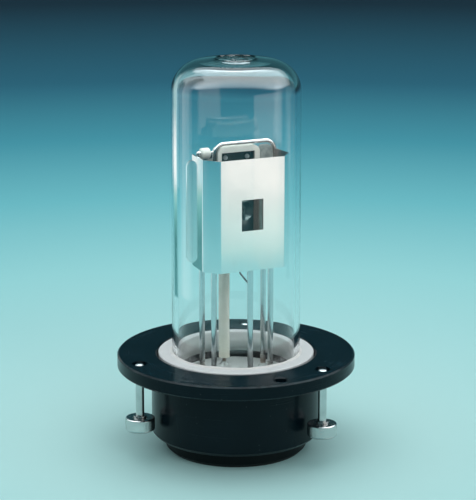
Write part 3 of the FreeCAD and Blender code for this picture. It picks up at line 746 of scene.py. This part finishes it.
def ceramic(name, light, shadow, roughness, grain_size, depth, slot_painted_shade=0.0):
    """Fired ceramic: two close tones, grey freckles, a fine grain, and painted shade in the slot.
    """
    material, tree, shader = start_finish(name, ior=1.6)
    soft = use(tree, patches, Size=220.0)
    grain = use(tree, patches, Size=grain_size)
    freckles = times(tree, use(tree, specks, Size=520.0), 0.35)
    colour = blend_colours(tree, soft, light, shadow)
    colour = blend_colours(tree, freckles, colour, rgb(0.35, 0.33, 0.30))
    # Painted shade: the block's slot is darkened from its front plane inwards.
    if slot_painted_shade > 0:
        painted_shade = use(tree, hollow, Share=slot_painted_shade, **SLOT)
        colour = blend_colours(tree, painted_shade, colour, rgb(0.020, 0.045, 0.040))
    rough = sums(tree, "MULTIPLY_ADD", soft, 0.12, roughness)
    shade(tree, shader, colour, rough, grain, depth)
    return material


# %% [markdown]
# Glass keeps a plain Transmission, so that every program reads it as glass. Lamps can't
# shine through bent glass in this renderer, so for rays that only ask about shadow the
# glass is mixed with a clear shader, and the metal inside is lit. The melted seal in the
# crown is slightly frosted.

# %% Glass
def clear_glass(name, tint, ior, spread, shadow_tint, clear_part=1.0, roughness=0.0, frost=0.0):
    """Glass that lets the lamps' light through. clear_part is the share that isn't milky."""
    material, tree, shader = start_finish(name, ior=ior)
    shader.inputs["Base Color"].default_value = tint
    shader.inputs["Transmission Weight"].default_value = clear_part
    rough = sums(tree, "MULTIPLY_ADD", use(tree, patches, Size=60.0), spread, roughness)
    if frost > 0:
        seal = use(tree, spot, Radius=4.3 * MM, Height=94.0 * MM)
        rough = sums(tree, "MULTIPLY_ADD", seal, frost, rough)
    tree.links.new(rough, shader.inputs["Roughness"])
    clear = add(tree, "ShaderNodeBsdfTransparent", inputs={"Color": shadow_tint})
    shadow = add(tree, "ShaderNodeLightPath").outputs["Is Shadow Ray"]
    mix_to_surface(tree, shadow, shader.outputs[0], clear.outputs[0])
    return material


# %% [markdown]
# One table names every finish. For each metal it gives the bright and the dull tone, the
# roughness and how far that spreads, the grain and its depth.

# %% The finishes by slot
finishes = {
    "black_anodised": anodised(),
    "black_plastic": black_plastic(),
    "black_rubber": black_rubber(),
    "screw_steel": bare_metal("turned steel", rgb(0.68, 0.68, 0.67), rgb(0.50, 0.50, 0.50),
                              0.16, 0.12, TURNED, 0.0008 * MM),
    "nickel_sheet": nickel_sheet("rolled nickel sheet"),
    # Painted shade inside the shield box.
    "shield_nickel": nickel_sheet("nickel sheet with painted shade", painted_shade=0.88),
    "molybdenum": bare_metal("molybdenum sheet", rgb(0.36, 0.41, 0.40), rgb(0.22, 0.27, 0.26),
                             0.30, 0.12, ROLLED, 0.001 * MM, wave=0.03 * MM),
    # The channel's grey-green is heat colour, and its darkened side wall is painted shade.
    "baked_nickel": bare_metal("baked nickel sheet", rgb(0.24, 0.31, 0.28), rgb(0.15, 0.20, 0.18),
                               0.38, 0.12, ROLLED, 0.0005 * MM, painted_shade=0.95),
    "nickel_wire": bare_metal("drawn nickel wire", rgb(0.80, 0.80, 0.79), rgb(0.62, 0.62, 0.62),
                              0.12, 0.06, DRAWN, 0.0003 * MM),
    "lead_wire": bare_metal("lead wire", rgb(0.74, 0.76, 0.77), rgb(0.64, 0.66, 0.67),
                            0.14, 0.06, DRAWN, 0.0003 * MM, stain=0.8),
    "grey_nickel": bare_metal("mottled nickel", rgb(0.66, 0.74, 0.72), rgb(0.15, 0.21, 0.20),
                              0.34, 0.22, CLOUDY, 0.012 * MM, mottle=0.9, metallic=0.35),
    "tungsten_wire": bare_metal("tungsten wire", rgb(0.30, 0.30, 0.31), rgb(0.15, 0.15, 0.16),
                                0.30, 0.15, DRAWN, 0.001 * MM),
    "white_ceramic": ceramic("white ceramic", rgb(0.82, 0.845, 0.84), rgb(0.74, 0.77, 0.765),
                             0.42, 3000.0, 0.004 * MM),
    # Painted shade in the block's slot.
    "fired_ceramic": ceramic("fired ceramic", rgb(0.95, 0.92, 0.83), rgb(0.87, 0.84, 0.75),
                             0.42, 3000.0, 0.004 * MM, slot_painted_shade=0.97),
    "white_cement": ceramic("white cement", rgb(0.86, 0.86, 0.84), rgb(0.78, 0.78, 0.75),
                            0.75, 2200.0, 0.02 * MM),
    "cream_ceramic": ceramic("cream ceramic", rgb(0.92, 0.90, 0.79), rgb(0.86, 0.83, 0.70),
                             0.45, 2600.0, 0.004 * MM),
    "silica_glass": clear_glass("silica glass", rgb(0.985, 0.995, 0.995), 1.46, 0.004,
                                rgb(0.93, 0.95, 0.95), frost=0.16),
    "stem_glass": clear_glass("stem glass", rgb(0.72, 0.76, 0.74), 1.50, 0.12,
                              rgb(0.80, 0.86, 0.84), clear_part=0.35, roughness=0.12),
}
print("finishes:", len(finishes))

# %% [markdown]
# The imported record says which finish each CAD piece takes. Every piece gets its material
# here, also the ones that are made again below. Four pieces get a finish of their own:
# the heat has baked the channel round the cathode to a matt grey-green, with painted shade
# on its side wall, the shield has painted shade inside, and the ceramic block and its
# sleeve are fired to a warmer white, with painted shade in the block's slot.

# %% Give each CAD piece its finish
slot_of = {part["node"]: part["material_slot"] for part in frame["record"]["subparts"]}
slot_of.update(cathode_channel="baked_nickel", front_shield="shield_nickel",
               anode_housing="fired_ceramic", ceramic_sleeve="fired_ceramic")


def dress(piece, slot):
    """Give an object one material, whatever it had before."""
    piece.data.materials.clear()
    piece.data.materials.append(finishes[slot])


for node, slot in slot_of.items():
    dress(frame["nodes"][node], slot)
print("dressed:", len(slot_of))

# %% [markdown]
# ## The bulb
# The bulb is a tube of silica, worked in a flame. Its top was closed to a nearly flat
# crown with a round shoulder, and the pump tube was melted off in the middle, which
# leaves a low ring with a dimpled floor. Hand work is never perfectly round, so the
# radius and the ring carry a few slow waves. The wall is solid glass, with an outer and
# an inner surface in one closed skin, because light has to bend at both.
#
# The crown is a shallow sphere. At its edge it has the slope that the shoulder has at the
# angle JOIN, so the two meet with no kink. All sizes below are in millimetres.

# %% The bulb's profile
BULB_RADIUS = 15.3
BULB_WALL = 1.3
BULB_TOP = 95.0
BULB_BOTTOM = 15.4
SHOULDER = 7.2
JOIN = math.radians(10.6)
FINE_CROWN = 5.6


def bulb_profile():
    """Radius and height down the outside, and up the inside one wall further in.

    crown(r) = top - R + sqrt(R^2 - r^2), where R sin JOIN is the radius of the crown's edge."""
    middle = BULB_RADIUS - SHOULDER
    sphere = middle / math.sin(JOIN) + SHOULDER
    inner_sphere = sphere - BULB_WALL
    inner_bend = SHOULDER - BULB_WALL
    low_point = BULB_TOP - sphere
    bend_height = low_point + (sphere - SHOULDER) * math.cos(JOIN)
    edge_radius = sphere * math.sin(JOIN)
    crown = np.concatenate([np.linspace(0, FINE_CROWN, 40),
                            np.linspace(FINE_CROWN + 0.1, edge_radius, 12)])
    inner_crown = np.linspace(inner_sphere * math.sin(JOIN), 0, 30)
    turn = np.linspace(math.pi / 2 - JOIN, 0, 34)[1:]
    back = turn[::-1]
    wall = np.linspace(bend_height, BULB_BOTTOM, 60)[1:]
    radius = np.concatenate([
        crown, middle + SHOULDER * np.cos(turn), np.full(wall.size, BULB_RADIUS),
        np.full(wall.size, BULB_RADIUS - BULB_WALL), middle + inner_bend * np.cos(back),
        inner_crown])
    height = np.concatenate([
        low_point + np.sqrt(sphere ** 2 - crown ** 2), bend_height + SHOULDER * np.sin(turn), wall,
        wall[::-1], bend_height + inner_bend * np.sin(back),
        low_point + np.sqrt(inner_sphere ** 2 - inner_crown ** 2)])
    outside = np.arange(radius.size) < crown.size + turn.size + wall.size
    print("crown joins the shoulder at a radius in mm of", round(edge_radius, 2))
    return radius, height, outside


# %% [markdown]
# The waves are sines of the angle and the height, and are stronger in the dome, where the
# flame was. The seal's ring is a narrow bell curve at one radius. Inside it the floor
# lies lower and carries shallow dimples, which fade out at the centre and at the ring.

# %% The blown bulb
DOME_BOTTOM = 80.0
DOME_RISE = 12.0
DOME_TUCK = 0.05
INNER_WAVE = 0.6
SEAL_REACH = 8.2
SEAL_RADIUS = 4.7
SEAL_WIDTH = 0.42
SEAL_HEIGHT = 0.16
FLOOR_DIP = 0.22
FLOOR_SLOPE = 0.30
DIMPLE = 0.10
DIMPLE_REACH = 4.5
DIMPLE_FADE = 0.8


def seal_mark(r, t):
    """Height to add: h exp(-((r - s) / w)^2) for the ring, a smooth step down, and dimples."""
    off = r - SEAL_RADIUS - 0.12 * np.sin(3 * t)
    uneven = 1 + 0.35 * np.sin(3 * t + 1) + 0.25 * np.sin(7 * t)
    ring = SEAL_HEIGHT * uneven * np.exp(-(off / SEAL_WIDTH) ** 2)
    dip = FLOOR_DIP / (1 + np.exp((r - SEAL_RADIUS + 0.5) / FLOOR_SLOPE))
    dimples = DIMPLE * np.sin(2.1 * r + 2 * t) * np.sin(1.7 * r * np.cos(t) + 0.8)
    fade = np.clip((DIMPLE_REACH - r) / DIMPLE_FADE, 0, 1) * np.clip(r / DIMPLE_FADE, 0, 1)
    return ring - dip + dimples * fade


def blown_bulb():
    """Turned grid with waves a sin(2t + z/9) + b sin(3t - z/5) on r, and the seal's mark on z."""
    radius, height, outside = bulb_profile()
    t = round_angles(192)
    r = radius[:, None]
    z = height[:, None]
    skin = np.where(outside, 1.0, INNER_WAVE)[:, None]
    share = np.clip(r / BULB_RADIUS, 0, 1) ** 2
    dome = np.clip((z - DOME_BOTTOM) / DOME_RISE, 0, 1)
    wave = 0.035 * np.sin(2 * t + z / 9) + 0.02 * np.sin(3 * t - z / 5 + 1)
    wave = wave + dome * (0.09 * np.sin(2 * t + 0.7) + 0.06 * np.sin(5 * t - 0.4 + r / 3))
    on_top = outside[:, None] & (r < SEAL_REACH)
    z = z + np.where(on_top, seal_mark(r, t), 0.0)
    return turned_grid((r - DOME_TUCK * dome + wave * share * skin) * MM, z * MM, t)


bulb = make_piece("blown_bulb", blown_bulb())
dress(bulb, "silica_glass")
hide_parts("bulb_envelope")
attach(bulb, "root")

# %% [markdown]
# ## The captive screws
# The three screws are turned steel: a round knurled head, a thin shank and a short
# right-handed thread. Head, shank and thread are one turned grid. The knurl is a row of
# upright ridges, and the thread is a ridge that climbs one pitch for each turn, so its
# phase is height over pitch less angle over a full turn.

# %% The screw's profile
SCREW_CIRCLE = 24.95
SCREW_ANGLES = (60.0, 180.0, 300.0)
KNURL_LOW, KNURL_HIGH = 7.74, 10.26
KNURL_COUNT = 60
KNURL_DEPTH = 0.07
KNURL_END = 0.15
HEAD_RADIUS = 3.5
HEAD_TOP = 10.58
SHANK_RADIUS = 1.0
THREAD_RADIUS = 1.45
THREAD_LOW, THREAD_HIGH = 21.55, 22.95
THREAD_DEPTH = 0.30
THREAD_RUN = 0.3
PITCH = 0.5


def screw_profile():
    """Radius and height from the head's underside to the tip, with masks for knurl and thread."""
    under = [(0, 7.7), (1.9, 7.7), (2.0, 7.68), (2.3, 7.42), (2.4, 7.4), (3.12, 7.4), (3.2, 7.42),
             (3.42, 7.66)]
    side = [(HEAD_RADIUS, z) for z in np.linspace(KNURL_LOW, KNURL_HIGH, 20)]
    upper = [(3.46, 10.38), (3.38, 10.48), (3.27, 10.55), (3.17, HEAD_TOP), (3.1, HEAD_TOP),
             (2.4, HEAD_TOP), (1.2, HEAD_TOP), (1.06, 10.61), (SHANK_RADIUS, 10.70)]
    shank = [(SHANK_RADIUS, z) for z in np.linspace(11.2, 21.3, 12)]
    thread = [(THREAD_RADIUS, z) for z in np.linspace(THREAD_LOW, THREAD_HIGH, 52)]
    tip = [(1.2, 23.2), (0.98, 23.5), (0.86, 23.62), (0.66, 23.7), (0.4, 23.76), (0, 23.78)]
    points = np.array(under + side + upper + shank + thread + tip)
    radius, height = points.T
    return radius, height, radius == HEAD_RADIUS, radius == THREAD_RADIUS


# %% [markdown]
# Knurl and thread are cut into that profile by one triangle wave each. The knurl fades
# out at both ends of the head's side, and the thread starts shallow at its foot.

# %% Knurled and threaded screws
def triangle(phase):
    """A wave of straight lines from 1 to 0 and back, once for each 1 of the phase."""
    return np.abs(phase % 1 - 0.5) * 2


def captive_screw(number, angle):
    """Turned grid. Ridges are triangle(n t / 2 pi), the thread is triangle(z / p - t / 2 pi)."""
    radius, height, knurled, threaded = screw_profile()
    t = round_angles(240)
    r = radius[:, None]
    z = height[:, None]
    ends = (np.clip((z - KNURL_LOW) / KNURL_END, 0, 1)
            * np.clip((KNURL_HIGH - z) / KNURL_END, 0, 1))
    run = np.clip((z - THREAD_LOW) / THREAD_RUN, 0.25, 1)
    knurl = KNURL_DEPTH * ends * triangle(t * KNURL_COUNT / TURN)
    thread = THREAD_DEPTH * run * triangle(z / PITCH - t / TURN)
    r = r - np.where(knurled[:, None], knurl, 0) - np.where(threaded[:, None], thread, 0)
    x = SCREW_CIRCLE * math.cos(math.radians(angle)) * MM
    y = SCREW_CIRCLE * math.sin(math.radians(angle)) * MM
    grid = turned_grid(r * MM, z * MM, t, (x, y))
    piece = make_piece("captive_screw_%d" % number, grid, sharp=50)
    dress(piece, "screw_steel")
    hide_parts("thumbscrew_%d" % number)
    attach(piece, "screw_%d" % number)


for number, angle in enumerate(SCREW_ANGLES, start=1):
    captive_screw(number, angle)

# %% [markdown]
# ## The cathode
# The cathode is a wire wound in a close coil, with a leg at each end. One path holds it
# all: up the lower leg, round the turns, up the upper leg and back to the terminal. Its
# place comes from the box of the CAD's own coil.

# %% The wound cathode
COIL_LOW, COIL_HIGH = 54.85, 63.95
COIL_RADIUS = 0.9
COIL_TURNS = 13
COIL_EDGE = 1.15
COIL_MARGIN = 0.25
POINTS_PER_TURN = 16
LEG_OFFSET = 0.7
LEG_GAP = 0.5
LEG_DROP = 1.0
TOP_GAP = 0.22
BEND_RADIUS = 0.9
WIRE_RADIUS = 0.225
TUBE_REFERENCE = np.array([0.31, 0.22, 0.93])


def upright_leg(x, y, low, high, steps):
    """A straight run of points up one line."""
    return np.stack([np.full(steps, x), np.full(steps, y), np.linspace(low, high, steps)], axis=1)


def wound_cathode():
    """Legs, and between them (x + R cos a, y + R sin a, z), with z rising evenly with a."""
    low, high = (np.array(corner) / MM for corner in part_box("cathode_coil"))
    middle_x, coil_y = low[0] + COIL_EDGE, low[1] + COIL_EDGE
    leg_x = middle_x + LEG_OFFSET
    reach = high[2] - TOP_GAP
    a = np.linspace(0, TURN * COIL_TURNS, POINTS_PER_TURN * COIL_TURNS)
    z = np.linspace(COIL_LOW + COIL_MARGIN, COIL_HIGH - COIL_MARGIN, a.size)
    coil = np.stack([middle_x + COIL_RADIUS * np.cos(a), coil_y + COIL_RADIUS * np.sin(a), z],
                    axis=1)
    lower = upright_leg(leg_x, coil_y, low[2], COIL_LOW - LEG_GAP, 8)
    upper = upright_leg(leg_x, coil_y, COIL_HIGH + LEG_GAP, reach - LEG_DROP, 6)
    bend = np.linspace(0, math.pi / 2, 8)[1:]
    over = np.stack([np.full(bend.size, leg_x), coil_y + BEND_RADIUS * (1 - np.cos(bend)),
                     reach - BEND_RADIUS + BEND_RADIUS * np.sin(bend)], axis=1)
    end = np.array([[leg_x, high[1], reach]])
    path, width = ends_closed(np.concatenate([lower, coil, upper, over, end]), WIRE_RADIUS)
    return tube_grid(path * MM, width * MM, 12, TUBE_REFERENCE)


cathode = make_piece("wound_cathode", wound_cathode())
dress(cathode, "tungsten_wire")
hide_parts("cathode_coil")
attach(cathode, "root")

# %% [markdown]
# ## Painted glints in the ceramic block
# Two small domes at the top of the ceramic block, where the plate behind it is held, take
# the white ceramic finish so that they show as pale spots: painted highlights for the
# glints of two small metal heads. Each is a dome turned about the direction that it points in.

# %% Domes painted white as glints
def glint_bead(name, x, z, seat=0.47, radius=0.58, rise=0.75):
    """Half an ellipsoid: point(i, t) = (x + r cos t, seat - rise sin a, z + r sin t).

    r is radius cos a."""
    a = np.linspace(0, math.pi / 2, 10)
    r = np.concatenate([[0.0], radius * np.cos(a)])[:, None]
    out = np.concatenate([[0.0], rise * np.sin(a)])[:, None]
    r, out, t = np.broadcast_arrays(r, out, round_angles(32))
    grid = np.stack([x + r * np.cos(t), seat - out, z + r * np.sin(t)], axis=-1)
    piece = make_piece(name, grid * MM)
    # The white finish stands in for the glints of small metal heads: painted highlights.
    dress(piece, "white_ceramic")
    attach(piece, "root")


glint_bead("left_glint_bead", -2.6, 71.4)
glint_bead("right_glint_bead", 3.05, 71.3)

# %% [markdown]
# ## The cement
# White cement fills the gap between bulb and ring, and stands up as a small uneven bead.
# It is turned like the rest, with its top edge carried up and down by slow waves. Each
# corner of its section has a radius, a height, and the share of the wave that moves it
# outwards and upwards.

# %% The cement bead
CEMENT_SECTION = np.array([
    (15.33, 19.62, 0.0, 0.0), (15.47, 19.62, 0.0, 0.0), (15.48, 24.0, 0.0, 0.0),
    (15.90, 24.0, 1.0, 0.0), (15.82, 24.05, 1.0, 0.3), (15.7, 24.11, 0.8, 0.6),
    (15.55, 24.20, 0.5, 0.9), (15.40, 24.30, 0.2, 1.0), (15.33, 24.34, 0.0, 1.0)])


def cement_bead():
    """Closed section turned about Z. The wave is a sin 5t + b sin(8t + 1) + c sin(19t + 2)."""
    radius, height, out, up = (column[:, None] for column in CEMENT_SECTION.T)
    t = round_angles(256)
    slow = 0.05 * np.sin(5 * t) + 0.04 * np.sin(8 * t + 1) + 0.03 * np.sin(19 * t + 2)
    return turned_grid((radius + slow * out) * MM, (height + slow * up) * MM, t)


cement = make_piece("cement_bead", cement_bead(), closed_rows=True)
dress(cement, "white_cement")
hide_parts("bulb_cement")
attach(cement, "root")
